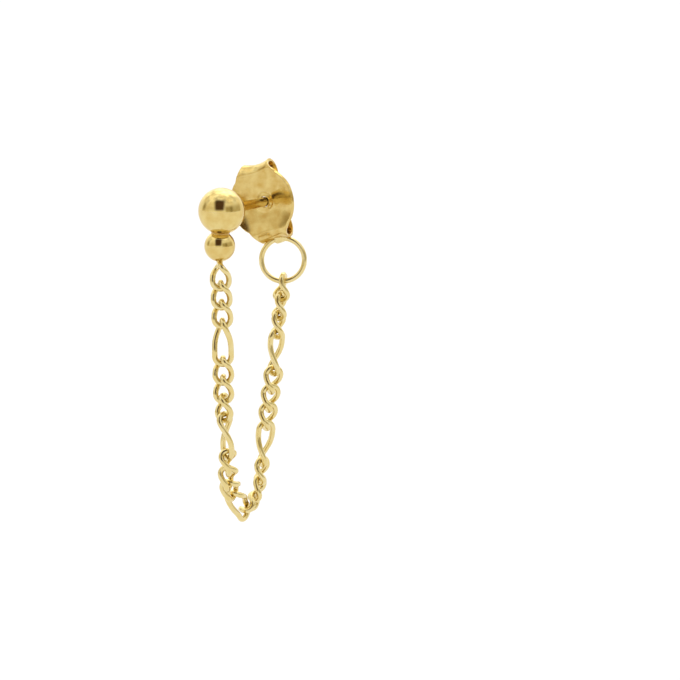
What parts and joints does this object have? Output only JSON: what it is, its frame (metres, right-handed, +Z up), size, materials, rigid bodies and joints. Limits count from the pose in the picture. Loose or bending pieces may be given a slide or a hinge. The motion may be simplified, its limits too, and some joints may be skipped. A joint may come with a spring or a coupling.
{
  "type": "ear chain earring",
  "caption": "Ball stud earring whose fine twisted-link chain hangs under the lobe and joins a ring on the scroll back behind it.",
  "frame": {"origin": "on the axis of the ear post, at the back of the large ball, where the post leaves it and the ear lobe rests", "axes": "+Z up; -Y is the front of the large ball, which faces away from the ear; +Y runs along the post through the lobe to the scroll back; the chain hangs towards -Z"},
  "size_m": [0.0065, 0.0136, 0.0314],
  "materials": {
    "polished_gold": "polished yellow gold"
  },
  "bodies": {
    "root": {"ball_stud": "polished_gold", "scroll_back": "polished_gold", "link_02": "polished_gold", "link_03": "polished_gold", "link_04": "polished_gold", "link_05": "polished_gold", "link_06": "polished_gold", "link_07": "polished_gold", "link_08": "polished_gold", "link_09": "polished_gold", "link_10": "polished_gold", "link_11": "polished_gold", "link_12": "polished_gold", "link_13": "polished_gold", "link_14": "polished_gold", "link_15": "polished_gold", "link_16": "polished_gold", "link_17": "polished_gold", "link_18": "polished_gold", "link_19": "polished_gold", "link_20": "polished_gold", "link_21": "polished_gold", "link_22": "polished_gold", "link_23": "polished_gold"}
  },
  "joints": []
}
